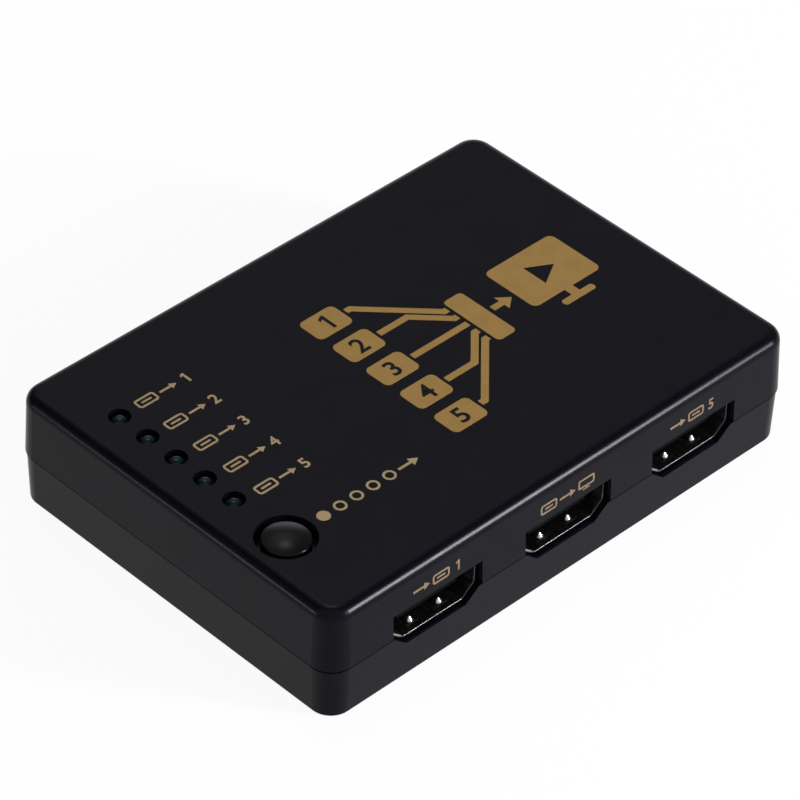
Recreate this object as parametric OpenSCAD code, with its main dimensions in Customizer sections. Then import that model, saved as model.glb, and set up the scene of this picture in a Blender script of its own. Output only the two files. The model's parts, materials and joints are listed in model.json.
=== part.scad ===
// HDMI switch box with five inputs and one output, in millimetres.
// The origin is the middle of the underside. X runs along the socket sides, -Y is the front, Z is up.

/* [Case] */
// Width of the case along its socket sides, at the parting line
case_w = 85; // [82:0.5:110]
// Depth of the case, at the parting line
case_d = 60.8; // [60:0.2:90]
// Height of the case, from the underside to the top face
case_h = 17.8; // [17.4:0.1:24]
// Height of the parting line above the underside
split_h = 8.1; // [7:0.1:9.4]
// Plan radius of the corners at the parting line
corner_r = 3.6; // [3.2:0.1:5]
// Radius round the top face
top_fillet = 1.7; // [0.8:0.1:2.4]
// Radius round the underside
base_fillet = 0.3; // [0.2:0.05:1]
// Radius round the inside of the top plate and the floor
inside_fillet = 0.6; // [0.2:0.1:1]
// Thickness of the walls
wall = 1.8; // [1.5:0.1:2.1]
// Thickness of the top plate
top_t = 1.8; // [1.4:0.1:2.2]
// Thickness of the floor
floor_t = 1.8; // [1.4:0.1:2.2]
// How far the top cover's walls lean in, from the parting line to the top face
cover_draft = 0.4; // [0.2:0.05:0.6]
// How far the bottom cover's walls lean in, from the seam to the underside
base_draft = 0.25; // [0.1:0.05:0.5]
// How far the top cover overhangs the bottom cover
overhang = 0.2; // [0.1:0.05:0.4]
// Height of the open seam between the two covers, under the parting line
seam_gap = 0.4; // [0.3:0.05:0.5]
// Height of the bottom cover's locating lip over the parting line
lip_h = 1.2; // [0.8:0.1:1.8]
// Thickness of the locating lip
lip_t = 0.8; // [0.6:0.05:1]

/* [Board] */
// Thickness of the circuit board
board_t = 1.6; // [1.2:0.1:2]
// Room between the floor and the board, for the cut ends of the leads
board_room = 2.85; // [2.5:0.05:3.5]
// How far the cut ends of the leads stick out under the board
lead_tail = 1; // [0.5:0.1:1.8]
// Thickness of the ribs that hold up the board under the sockets
rib_t = 1.2; // [0.8:0.1:2]
// Length of the ribs under the sockets
rib_l = 8; // [4:0.5:10]

/* [Screws] */
// Outside diameter of a case screw's thread
screw_d = 2.6; // [2:0.1:3]
// Length of a case screw under its head
screw_l = 9; // [7:0.5:11]
// Diameter of a screw head
screw_head_d = 4.8; // [4.2:0.1:5.2]
// Height of a screw head
screw_head_h = 1.5; // [1.2:0.1:1.8]
// How deep a screw head lies under the underside
screw_sink = 0.5; // [0.2:0.1:0.8]
// Length of the arms of the cross recess in a screw head
cross_l = 2.8; // [2:0.1:3.4]
// Width of the arms of the cross recess
cross_w = 0.7; // [0.5:0.05:0.9]
// Depth of the cross recess
cross_deep = 0.8; // [0.5:0.05:1]
// Outside diameter of the screw bosses in the top cover
boss_d = 5.6; // [5:0.1:6.4]
// Wall round the sunk head in the bottom cover's posts
post_wall = 0.8; // [0.6:0.05:1.2]
// Room between a screw boss and the inside of the walls
boss_room = 0.6; // [0.3:0.1:1.5]

/* [Sockets] */
// Distance from the ends of the case to the middles of the outer sockets
socket_inset = 18.9; // [18.2:0.1:22]
// How far a socket's mouth lies behind the face of the case
socket_recess = 1; // [0.6:0.1:1.3]
// Outside width of a socket's shell
shell_w = 15; // [14.6:0.1:15.4]
// Outside height of a socket's shell
shell_h = 5.3; // [5.1:0.1:5.8]
// Outside width of the flat along the bottom of a shell
shell_flat = 10.6; // [10:0.1:11.2]
// Height of a shell's slanted lower corners
shell_slant = 1.85; // [1.6:0.05:2.1]
// Thickness of a shell's sheet metal
shell_t = 0.25; // [0.2:0.05:0.4]
// Length of a shell, from front to back
shell_l = 11.5; // [10.5:0.1:12.5]
// Outside radius of a shell's bends
shell_bend = 0.8; // [0.6:0.1:1]
// Length of a shell's spring fingers
finger_l = 4.6; // [3.5:0.1:5.5]
// Width of a spring finger
finger_w = 1.8; // [1.2:0.1:2.2]
// Distance between the two spring fingers on one face
finger_pitch = 5.15; // [4.5:0.05:6]
// Width of the slits that free the fingers
finger_slit = 0.3; // [0.2:0.05:0.4]
// How far the slits start behind the mouth
finger_setback = 0.7; // [0.5:0.1:1]
// Radius of a finger's contact dimple
dimple_r = 0.5; // [0.4:0.05:0.6]
// How far a dimple stands into the mouth
dimple_h = 0.3; // [0.15:0.05:0.35]
// How far a dimple lies behind its finger's tip
dimple_setback = 0.6; // [0.5:0.05:1]
// Width of the shell's soldered legs
leg_w = 1.4; // [1:0.1:1.8]
// How far the front legs lie behind the mouth
leg_front = 3.6; // [3:0.1:4.5]
// Distance between the front and back legs
leg_pitch = 5.4; // [4.5:0.1:6]
// How far the legs run up the shell's upright sides
leg_rise = 1.3; // [0.8:0.1:2]
// Width of the contact tongue
tongue_w = 10.6; // [10.4:0.1:11]
// Thickness of the contact tongue
tongue_t = 1; // [0.9:0.05:1.2]
// Height of the tongue's middle over the board
tongue_h = 2.85; // [2.6:0.05:3]
// How far the tongue lies behind the mouth
tongue_setback = 1.2; // [1:0.1:1.6]
// Length of the insulator's back block
block_l = 2.2; // [1.8:0.1:2.6]
// Distance from the mouth to the back block
block_front = 8.5; // [8:0.1:8.8]
// Contacts on top of the tongue, with one less under it
contact_count = 10; // [6:1:10]
// Distance between neighbouring contacts in one row
contact_pitch = 1; // [0.9:0.02:1.06]
// Width of a contact
contact_w = 0.3; // [0.2:0.02:0.4]
// Thickness of a contact
contact_t = 0.2; // [0.15:0.01:0.25]
// How far a contact stands out of the tongue
contact_rise = 0.08; // [0.02:0.01:0.1]
// Length of a contact's soldered foot
contact_foot = 1.2; // [0.8:0.1:1.5]

/* [Lights] */
// Diameter of a light's lens
led_d = 2.9; // [2.5:0.1:3.2]
// Height of a light, from its rim to its tip
led_h = 5.2; // [4.2:0.1:5.6]
// Diameter of the rim at the foot of a lens
led_rim_d = 3.8; // [3.5:0.1:4.4]
// Thickness of that rim
led_rim_t = 1; // [0.6:0.1:1.4]
// How far the tip lies under the top face
led_sink = 0.1; // [0:0.05:0.5]
// Distance between neighbouring lights
led_pitch = 5.5; // [5.2:0.1:5.7]
// How far the middle light lies behind the middle of the case
led_mid_y = 5.9; // [5.4:0.1:7]
// Distance from the left face of the case to the row of lights and the button
row_inset = 6.85; // [6.6:0.05:8]
// Side of a light's square leads
led_lead = 0.5; // [0.4:0.05:0.6]
// Distance between a light's two leads
led_lead_pitch = 2.54; // [2:0.02:2.8]

/* [Button] */
// Diameter of the hole in the top cover
button_hole_d = 8.4; // [7.8:0.1:8.8]
// Gap between the cap and its hole
button_gap = 0.85; // [0.4:0.05:1]
// How far the middle of the button lies in front of the middle of the case
button_y = 14.85; // [14.4:0.05:15.4]
// How far the rim of the cap lies under the top face
button_sink = 0.2; // [0:0.05:0.4]
// Height of the cap's crown over its rim
button_crown = 0.7; // [0.4:0.05:1]
// Radius of the cap's rounded rim
button_rim = 0.3; // [0.15:0.05:0.4]
// How far the flange under the top plate reaches past the hole
flange_reach = 0.8; // [0.5:0.05:1]
// Thickness of the flange
flange_t = 1; // [0.7:0.1:1.4]
// Diameter of the stem that presses the switch
stem_d = 3.2; // [2.4:0.1:3.4]
// How far the button travels
button_travel = 0.3; // [0.2:0.05:0.35]
// How far the collar that guides the flange runs past the pressed flange
collar_past = 1; // [0.5:0.1:1.5]
// Thickness of the collar
collar_t = 0.8; // [0.6:0.05:1]

/* [Switch under the button] */
// Side of the switch's square base
switch_w = 6; // [5.8:0.1:6.4]
// Height of the base
switch_base_h = 3.2; // [3:0.1:3.4]
// Thickness of the metal plate on the base
switch_plate_t = 0.3; // [0.2:0.05:0.4]
// Height of the switch, to the top of its plunger
switch_h = 5; // [4.4:0.1:6]
// Diameter of the plunger
plunger_d = 3.5; // [3:0.1:3.8]
// Diameter of the well in the base
well_d = 5; // [4.8:0.1:5.3]
// Thickness of the floor of the well
well_floor = 1; // [0.8:0.05:1.1]
// Height of the snap dome
dome_h = 0.4; // [0.35:0.01:0.5]
// Thickness of the snap dome
dome_t = 0.1; // [0.06:0.01:0.14]
// Thickness of the plunger's collar
plunger_collar_t = 0.9; // [0.6:0.05:1]
// Diameter of the nub that presses the dome
nub_d = 1.4; // [1:0.1:1.8]
// Distance between the switch's pins along Y
switch_pin_y = 4.5; // [4:0.1:5]
// Width of a switch pin
switch_pin_w = 0.7; // [0.5:0.05:0.9]
// Thickness of a switch pin
switch_pin_t = 0.3; // [0.2:0.05:0.4]

/* [Jacks] */
// Distance between the two jacks
jack_pitch = 16; // [14:0.5:18]
// Width of a jack's housing
jack_w = 6.4; // [6.2:0.1:7]
// Height of a jack's housing
jack_h = 6; // [5.8:0.1:6.6]
// Height of a jack's bore over the board
jack_axis_h = 3; // [2.8:0.05:3.3]
// Diameter of the nose that shows in the side of the case
jack_nose_d = 5.6; // [5.2:0.1:5.8]
// How far the nose lies behind the face of the case
jack_recess = 0.5; // [0.2:0.1:0.8]
// Length of the power jack's housing
power_l = 9.5; // [9:0.1:11]
// Diameter of the power jack's bore
power_bore_d = 3.8; // [3.6:0.1:4.1]
// Diameter of the power jack's pin
power_pin_d = 1.3; // [1.1:0.05:1.4]
// How far the pin's tip lies behind the nose
power_pin_sink = 1.5; // [1:0.1:2.5]
// Length of the receiver jack's housing
remote_l = 13; // [12.4:0.1:14]
// Diameter of the receiver jack's bore
remote_bore_d = 3.6; // [3.55:0.01:3.7]
// Diameter of the wider entry in the receiver jack's nose
remote_entry_d = 4.4; // [4.2:0.1:4.6]
// Thickness of the wall at the back of a jack
jack_back = 1.2; // [0.8:0.1:1.6]
// Width of a jack's contacts
jack_lead_w = 1.2; // [0.8:0.1:1.6]
// Thickness of a jack's contacts
jack_lead_t = 0.3; // [0.2:0.05:0.4]
// Height of a jack's contacts up the side of its housing
jack_lead_h = 4; // [2:0.1:5]

/* [Parts on the board] */
// Side of the switch chip's square body
chip_w = 10; // [9:0.5:12]
// Height of the switch chip's body
chip_h = 1.4; // [1.2:0.1:1.6]
// Pins along each side of the switch chip
chip_pins = 16; // [10:1:18]
// Distance between the switch chip's pins
chip_pitch = 0.5; // [0.4:0.05:0.5]
// Length of the control chip's body
control_l = 9.9; // [9.6:0.1:11]
// Width of the control chip's body
control_w = 3.9; // [3.6:0.1:4.6]
// Height of the control chip's body
control_h = 1.5; // [1.3:0.1:1.8]
// Pins along each side of the control chip
control_pins = 8; // [4:1:8]
// Length of the regulator's body
regulator_l = 6.5; // [6.2:0.1:7.5]
// Width of the regulator's body
regulator_w = 3.5; // [3:0.1:4.2]
// Height of the regulator's body
regulator_h = 1.6; // [1.4:0.1:2]
// Length of the crystal's can
crystal_l = 11; // [10:0.5:12]
// Width of the crystal's can
crystal_w = 4.6; // [4:0.1:5.2]
// Height of the crystal's can
crystal_h = 3.5; // [2.5:0.1:4.5]
// Diameter of the can capacitors
can_d = 5; // [4:0.1:6]
// Height of the can capacitors
can_h = 5.4; // [4.5:0.1:6.5]
// Thickness of a can capacitor's foot
can_foot_t = 0.8; // [0.5:0.1:1.2]
// Length of the chip resistors and chip capacitors
small_l = 1.6; // [1:0.1:2]
// Width of the chip resistors and chip capacitors
small_w = 0.8; // [0.5:0.05:1.2]
// Height of the chip resistors
resistor_h = 0.45; // [0.3:0.05:0.6]
// Height of the chip capacitors
capacitor_h = 0.8; // [0.6:0.05:1]
// Chip resistors behind each socket
resistor_count = 4; // [1:1:5]
// Chip capacitors on each side of the switch chip
capacitor_count = 3; // [1:1:4]
// Distance between neighbouring chip resistors or chip capacitors
small_pitch = 2.4; // [1.6:0.1:2.6]
// Room between the chip resistors and chip capacitors and the feet that they lie beside
small_room = 1; // [0.5:0.1:1.4]
// How high a chip's body lies over the board
chip_lift = 0.1; // [0.05:0.01:0.2]
// Thickness of a chip's pins
pin_t = 0.15; // [0.1:0.01:0.2]
// How far a chip's pins reach out
pin_reach = 1; // [0.8:0.05:1.3]
// How far out a chip's pins bend down
pin_bend = 0.35; // [0.3:0.05:0.5]
// Width of the switch chip's pins
chip_pin_w = 0.22; // [0.15:0.01:0.3]
// Width of the control chip's pins
control_pin_w = 0.42; // [0.3:0.02:0.5]
// Distance between the control chip's pins
control_pitch = 1.27; // [1:0.01:1.27]
// Width of the regulator's three pins
regulator_pin_w = 0.7; // [0.5:0.05:0.9]
// Distance between the regulator's three pins
regulator_pitch = 2.3; // [2:0.05:2.4]
// Width of the regulator's tab
regulator_tab_w = 3; // [2.5:0.1:3.4]
// How far the switch chip lies to the left of the board's middle
chip_x = 1; // [0:0.5:2]
// How far the control chip and the crystal lie to the left of the middle
control_x = 18; // [17:0.5:20]
// How far the control chip lies behind the middle
control_y = 3; // [2:0.5:5]
// How far the crystal lies in front of the middle
crystal_y = 7; // [6:0.5:8]
// Room between the regulator and the back of the receiver jack
regulator_room = 6.95; // [5:0.05:8]
// How far the regulator lies behind the middle
regulator_y = 4; // [3:0.5:6]
// Room between the second can and the back of the power jack
can_room = 3.2; // [2:0.1:4]
// How far the cans lie in front of the middle
can_y = 4; // [3.5:0.5:6]
// Distance between the two cans
can_pitch = 8; // [7:0.5:8.5]

/* [Clearances] */
// Room round the locating lip
lip_gap = 0.1; // [0.05:0.01:0.2]
// Room between the board and the inside of the bottom cover
board_gap = 0.35; // [0.2:0.05:0.6]
// Room between a shell and the sides of its cut-out
cut_side = 0.4; // [0.3:0.05:0.6]
// Room between a shell and the bottom of its cut-out
cut_below = 0.5; // [0.3:0.05:0.6]
// Room between a shell and the top of its cut-out
cut_above = 0.3; // [0.2:0.05:0.6]
// Room between a shell's slanted corners and its cut-out
cut_slant = 0.35; // [0.25:0.05:0.5]
// Room round a lens in its hole
led_gap = 0.1; // [0.05:0.01:0.3]
// Room round a jack's nose in its hole
nose_gap = 0.2; // [0.1:0.05:0.4]
// Room between a jack's housing and the inside of the wall
jack_gap = 0.3; // [0.15:0.05:0.5]
// Room round a lead in its hole in the board
lead_gap = 0.15; // [0.1:0.01:0.3]
// Room round a screw in the holes that it passes through
screw_gap = 0.15; // [0.1:0.01:0.3]
// Room round what slides, and between pressed faces
slide_gap = 0.1; // [0.05:0.01:0.15]
// Room between pieces that are pushed together
seat_gap = 0.03; // [0.01:0.01:0.05]

/* [Hidden] */
$fn = 64;
// How far a cut runs past the face that it opens
past = 1;
// Largest share of a corner's radius that a fillet takes up
fillet_share = 0.9;
// Straight pieces in one bend of a shell
bend_steps = 4;
// Fineness of the thin snap dome
dome_fn = 240;

core_w = case_w - 2 * corner_r;
core_d = case_d - 2 * corner_r;
board_under = floor_t + board_room;
board_top = board_under + board_t;
plate_under = case_h - top_t;
base_r = corner_r - overhang;
base_h = split_h - seam_gap;
board_w = case_w - 2 * (overhang + base_draft + wall + board_gap);
board_d = case_d - 2 * (overhang + base_draft + wall + board_gap);
inside_x = case_w / 2 - cover_draft - wall;
inside_y = case_d / 2 - cover_draft - wall;
boss_x = inside_x - boss_room - boss_d / 2;
boss_y = inside_y - boss_room - boss_d / 2;
screw_seat = screw_sink + screw_head_h;
socket_pitch = case_w / 2 - socket_inset;
row_x = row_inset - case_w / 2;
collar_l = slide_gap + flange_t + button_travel + collar_past;
switch_pin_x = switch_w + switch_pin_t;
led_base = case_h - led_sink - led_h;
jack_x = case_w / 2 - jack_recess;
jack_front = case_w / 2 - overhang - wall - jack_gap;
nose_l = jack_x - jack_front;
regulator_x = jack_front - remote_l - regulator_room - regulator_l / 2;
can_x = jack_front - power_l - can_room - can_d / 2;
contact_drop = block_front + block_l + seat_gap;

// Each socket: its node's suffix, its place in the row, and whether it is on the back
SOCKETS = [
    ["in1", -1, false],
    ["out", 0, false],
    ["in5", 1, false],
    ["in4", -1, true],
    ["in3", 0, true],
    ["in2", 1, true]
];
LIGHTS = [1, 2, 3, 4, 5];

// Outlines

function unit(v) = v / norm(v);

// Points of the arc that rounds the corner at p, between its neighbours before and after
function corner_arc(before, p, after, r) =
    let (
        u = unit(before - p),
        v = unit(after - p),
        half = acos(u * v) / 2,
        middle = p + unit(u + v) * r / sin(half),
        from = p + u * r / tan(half) - middle,
        to = p + v * r / tan(half) - middle,
        start = atan2(from.y, from.x),
        turn = (atan2(to.y, to.x) - start + 540) % 360 - 180
    )
    [
        for (i = [0 : bend_steps])
            let (a = start + turn * i / bend_steps)
            middle + r * [cos(a), sin(a)]
    ];

function rounded(points, r) =
    let (n = len(points))
    [
        for (i = [0 : n - 1])
            each corner_arc(points[(i + n - 1) % n], points[i], points[(i + 1) % n], r)
    ];

// A shell's outline seen from its mouth, drawn in by an inset
slant_angle = atan2(shell_slant, (shell_w - shell_flat) / 2);
function shell_points(inset) =
    let (
        flat = shell_flat / 2 - inset * tan(slant_angle / 2),
        side = shell_w / 2 - inset,
        slant_top = shell_slant + inset * tan((90 - slant_angle) / 2)
    )
    [
        [-flat, inset], [flat, inset], [side, slant_top],
        [side, shell_h - inset], [-side, shell_h - inset], [-side, slant_top]
    ];

// The cut-out round a shell
function cut_points() =
    let (
        shift = cut_slant / sin(slant_angle),
        side = shell_w / 2 + cut_side,
        flat = shell_flat / 2 + shift - cut_below / tan(slant_angle),
        slant_top = (side - shell_flat / 2 - shift) * tan(slant_angle),
        top = shell_h + cut_above
    )
    [
        [-flat, -cut_below], [flat, -cut_below], [side, slant_top],
        [side, top], [-side, top], [-side, slant_top]
    ];

module rounded_rect(w, d, r) {
    square([w - 2 * r, d], center = true);
    square([w, d - 2 * r], center = true);
    for (x = [-1, 1], y = [-1, 1])
        translate([x * (w / 2 - r), y * (d / 2 - r)])
            circle(r);
}

// A wall's section, from a corner's axis: open at z = 0, closed and filleted at z = h
module leaning_wall(open_r, closed_r, h, fillet) {
    f = min(fillet, closed_r * fillet_share);
    lean = atan2(open_r - closed_r, h);
    middle = closed_r - f * (1 - sin(lean)) / cos(lean);
    polygon([
        [0, 0], [open_r, 0], [middle + f * cos(lean), h - f + f * sin(lean)],
        [middle, h - f], [middle, h], [0, h]
    ]);
    translate([middle, h - f])
        intersection() {
            circle(f);
            square(f + past);
        }
}

// Sweeps a wall's section round the four corners and along the four sides
module swept_block(low, high) {
    for (i = [0 : 3]) {
        turn = 90 * i;
        along = i % 2 == 0 ? core_d : core_w;
        out = i % 2 == 0 ? core_w / 2 : core_d / 2;
        rotate(turn)
            translate([out, along / 2, 0])
                rotate_extrude(angle = 90)
                    children();
        rotate(turn)
            translate([out, 0, 0])
                rotate([90, 0, 0])
                    linear_extrude(along, center = true)
                        children();
    }
    translate([-core_w / 2, -core_d / 2, low])
        cube([core_w, core_d, high - low]);
}

// A strip bent down to the board and out again, seen from its side, then given its width
module bent_strip(back, drop, foot, h, t, w) {
    rotate([90, 0, 90])
        linear_extrude(w, center = true)
            polygon([
                [back, h], [drop, h], [drop, 0], [drop + foot, 0],
                [drop + foot, t], [drop + t, t], [drop + t, h + t], [back, h + t]
            ]);
}

// Places

module at_corners() {
    for (x = [-1, 1], y = [-1, 1])
        translate([x * boss_x, y * boss_y, 0])
            children();
}

// Puts a socket's pieces in place: its mouth's middle on the board, with Y running into the case
module at_socket(s) {
    rotate(s[2] ? 180 : 0)
        translate([(s[2] ? -1 : 1) * s[1] * socket_pitch, socket_recess - case_d / 2, board_top])
            children();
}

module at_light(n) {
    translate([row_x, led_mid_y + (3 - n) * led_pitch, 0])
        children();
}

module at_button() {
    translate([row_x, -button_y, 0])
        children();
}

// Puts a jack's pieces in place: its nose's end, with Z running into the case
module at_jack(side) {
    translate([jack_x, side * jack_pitch / 2, board_top + jack_axis_h])
        rotate([0, -90, 0])
            children();
}

// Cuts that both covers share

module socket_cuts() {
    cut_l = wall + overhang + base_draft + past;
    for (s = SOCKETS)
        at_socket(s)
            translate([0, cut_l - socket_recess, 0])
                rotate([90, 0, 0])
                    linear_extrude(cut_l + past)
                        polygon(cut_points());
}

module jack_cuts() {
    for (side = [-1, 1])
        at_jack(side)
            translate([0, 0, -jack_recess - past])
                cylinder(nose_l + jack_recess + past + jack_gap, d = jack_nose_d + 2 * nose_gap);
}

// Case

module top_cover() {
    color("#1c1c20")
    difference() {
        union() {
            difference() {
                swept_block(split_h, case_h)
                    translate([0, split_h])
                        leaning_wall(corner_r, corner_r - cover_draft, case_h - split_h, top_fillet);
                cover_inside();
            }
            at_corners()
                translate([0, 0, board_top])
                    cylinder(plate_under + top_t / 2 - board_top, d = boss_d);
            button_collar();
        }
        socket_cuts();
        jack_cuts();
        for (n = LIGHTS)
            at_light(n)
                translate([0, 0, led_base])
                    cylinder(led_h + led_sink + past, d = led_d + 2 * led_gap);
        at_button()
            translate([0, 0, plate_under - past])
                cylinder(top_t + 2 * past, d = button_hole_d);
        at_corners()
            translate([0, 0, board_top - past])
                cylinder(screw_seat + screw_l + screw_gap + past - board_top, d = screw_d + 2 * seat_gap);
    }
}

// The hollow of the top cover, with the step that takes the lip
module cover_inside() {
    inside_r = corner_r - wall;
    inside_draft = cover_draft * (plate_under - split_h) / (case_h - split_h);
    swept_block(split_h, plate_under)
        translate([0, split_h])
            leaning_wall(inside_r, inside_r - inside_draft, plate_under - split_h, inside_fillet);
    step_r = base_r - wall + lip_t + lip_gap;
    translate([0, 0, split_h - past])
        linear_extrude(lip_h + lip_gap + past)
            rounded_rect(core_w + 2 * step_r, core_d + 2 * step_r, step_r);
}

// Guides the button's flange under the top plate
module button_collar() {
    inner_d = button_hole_d + 2 * flange_reach + 2 * slide_gap;
    at_button()
        translate([0, 0, plate_under - collar_l])
            difference() {
                cylinder(collar_l + top_t / 2, d = inner_d + 2 * collar_t);
                translate([0, 0, -past])
                    cylinder(collar_l + past, d = inner_d);
            }
}

module bottom_cover() {
    post_d = screw_head_d + 2 * screw_gap + 2 * post_wall;
    color("#1b1b1f")
    difference() {
        union() {
            difference() {
                swept_block(0, base_h)
                    translate([0, base_h])
                        mirror([0, 1])
                            leaning_wall(base_r, base_r - base_draft, base_h, base_fillet);
                base_inside();
            }
            locating_lip();
            at_corners()
                translate([0, 0, floor_t / 2])
                    cylinder(board_under - floor_t / 2, d = post_d);
            socket_ribs();
        }
        socket_cuts();
        jack_cuts();
        at_corners() {
            translate([0, 0, -past])
                cylinder(screw_seat + past, d = screw_head_d + 2 * screw_gap);
            cylinder(board_top, d = screw_d + 2 * screw_gap);
        }
    }
}

module base_inside() {
    inside_r = base_r - wall;
    inside_draft = base_draft * (base_h - floor_t) / base_h;
    swept_block(floor_t, base_h)
        translate([0, base_h])
            mirror([0, 1])
                leaning_wall(inside_r, inside_r - inside_draft, base_h - floor_t, inside_fillet);
}

module locating_lip() {
    lip_r = base_r - wall;
    out_r = lip_r + lip_t;
    translate([0, 0, base_h])
        linear_extrude(seam_gap + lip_h)
            difference() {
                rounded_rect(core_w + 2 * out_r, core_d + 2 * out_r, out_r);
                rounded_rect(core_w + 2 * lip_r, core_d + 2 * lip_r, lip_r);
            }
}

// Hold up the board where leads are pushed in
module socket_ribs() {
    for (s = SOCKETS)
        at_socket(s)
            translate([-rib_l / 2, leg_front + leg_pitch / 2 - rib_t / 2, floor_t / 2 - board_top])
                cube([rib_l, rib_t, board_under - floor_t / 2]);
}

module case_screws() {
    color("#b9bcc2")
    at_corners()
        translate([0, 0, screw_sink])
            difference() {
                union() {
                    cylinder(screw_head_h, d = screw_head_d);
                    cylinder(screw_head_h + screw_l, d = screw_d);
                }
                for (turn = [0, 90])
                    rotate(turn)
                        translate([-cross_l / 2, -cross_w / 2, -past])
                            cube([cross_l, cross_w, cross_deep + past]);
            }
}

// Board

module main_board() {
    board_r = corner_r - overhang - base_draft - wall - board_gap;
    color("#1f5a36")
    difference() {
        translate([0, 0, board_under])
            linear_extrude(board_t)
                rounded_rect(board_w, board_d, max(board_r, board_gap));
        at_corners()
            board_hole(screw_d / 2 + screw_gap);
        for (n = LIGHTS, y = [-1, 1])
            at_light(n)
                translate([0, y * led_lead_pitch / 2, 0])
                    board_hole(led_lead / sqrt(2) + lead_gap);
        at_button()
            at_switch_pins()
                board_hole(norm([switch_pin_w, switch_pin_t]) / 2 + lead_gap);
        for (s = SOCKETS)
            at_socket(s)
                at_shell_legs()
                    translate([-shell_t / 2 - lead_gap, -leg_w / 2 - lead_gap, -board_t - past])
                        cube([shell_t + 2 * lead_gap, leg_w + 2 * lead_gap, board_t + 2 * past]);
        for (x = jack_lead_places(power_l, 2))
            jack_lead_holes(-1, x, [-1]);
        for (x = jack_lead_places(remote_l, 3))
            jack_lead_holes(1, x, [-1, 1]);
    }
}

module board_hole(r) {
    translate([0, 0, board_under - past])
        cylinder(board_t + 2 * past, r = r);
}

module jack_lead_holes(jack, x, sides) {
    for (y = sides)
        translate([jack_front - x, jack * jack_pitch / 2 + y * (jack_w + jack_lead_t) / 2, 0])
            board_hole(norm([jack_lead_w, jack_lead_t]) / 2 + lead_gap);
}

// Button and the switch under it

module select_button() {
    cap_r = button_hole_d / 2 - button_gap;
    rim_z = case_h - button_sink;
    ball_r = (cap_r ^ 2 + button_crown ^ 2) / (2 * button_crown);
    ball_z = rim_z + button_crown - ball_r;
    rim_x = cap_r - button_rim;
    rim_mid = ball_z + sqrt((ball_r - button_rim) ^ 2 - rim_x ^ 2);
    flange_r = button_hole_d / 2 + flange_reach;
    flange_top = plate_under - slide_gap;
    flat_x = row_inset - cover_draft - wall - 2 * slide_gap;
    stem_end = board_top + switch_h + seat_gap;
    color("#0e0e10")
    at_button() {
        rotate_extrude() {
            translate([0, flange_top - flange_t])
                square([cap_r, rim_mid - flange_top + flange_t]);
            translate([rim_x, rim_mid])
                circle(button_rim);
            intersection() {
                translate([0, ball_z])
                    circle(ball_r);
                translate([0, rim_mid])
                    square([rim_x * ball_r / (ball_r - button_rim), ball_r]);
            }
        }
        intersection() {
            translate([0, 0, flange_top - flange_t])
                cylinder(flange_t, r = flange_r);
            translate([-flat_x, -flange_r, flange_top - flange_t])
                cube([flat_x + flange_r, 2 * flange_r, flange_t]);
        }
        translate([0, 0, stem_end])
            cylinder(flange_top - flange_t / 2 - stem_end, d = stem_d);
    }
}

module at_switch_pins() {
    for (x = [-1, 1], y = [-1, 1])
        translate([x * switch_pin_x / 2, y * switch_pin_y / 2, 0])
            children();
}

module switch_base() {
    color("#161616")
    at_button()
        translate([0, 0, board_top])
            difference() {
                translate([-switch_w / 2, -switch_w / 2, 0])
                    cube([switch_w, switch_w, switch_base_h]);
                translate([0, 0, well_floor])
                    cylinder(switch_base_h, d = well_d);
            }
}

module switch_plate() {
    color("#c4c7cc")
    at_button()
        translate([0, 0, board_top + switch_base_h])
            difference() {
                translate([-switch_w / 2, -switch_w / 2, 0])
                    cube([switch_w, switch_w, switch_plate_t]);
                translate([0, 0, -past])
                    cylinder(switch_plate_t + 2 * past, d = plunger_d + 2 * slide_gap);
            }
}

module switch_plunger() {
    collar_low = switch_base_h - slide_gap - plunger_collar_t;
    nub_low = well_floor + dome_h + seat_gap;
    color("#101012")
    at_button()
        translate([0, 0, board_top]) {
            translate([0, 0, collar_low])
                cylinder(switch_h - collar_low, d = plunger_d);
            translate([0, 0, collar_low])
                cylinder(plunger_collar_t, d = well_d - 4 * slide_gap);
            translate([0, 0, nub_low])
                cylinder(collar_low + plunger_collar_t / 2 - nub_low, d = nub_d);
        }
}

module switch_dome() {
    rim_r = well_d / 2 - 2 * slide_gap;
    ball_r = (rim_r ^ 2 + dome_h ^ 2) / (2 * dome_h);
    color("#d0d2d6")
    at_button()
        translate([0, 0, board_top + well_floor])
            rotate_extrude()
                intersection() {
                    translate([0, dome_h - ball_r])
                        difference() {
                            circle(ball_r, $fn = dome_fn);
                            circle(ball_r - dome_t, $fn = dome_fn);
                        }
                    square([rim_r, dome_h + past]);
                }
}

module switch_pins() {
    pin_l = board_t + lead_tail + switch_base_h / 2;
    color("#c9ccd1")
    at_button()
        at_switch_pins()
            translate([-switch_pin_t / 2, -switch_pin_w / 2, board_under - lead_tail])
                cube([switch_pin_t, switch_pin_w, pin_l]);
}

// Sockets

module at_shell_legs() {
    for (x = [-1, 1], y = [0, 1])
        translate([x * (shell_w - shell_t) / 2, leg_front + y * leg_pitch, 0])
            children();
}

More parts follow.
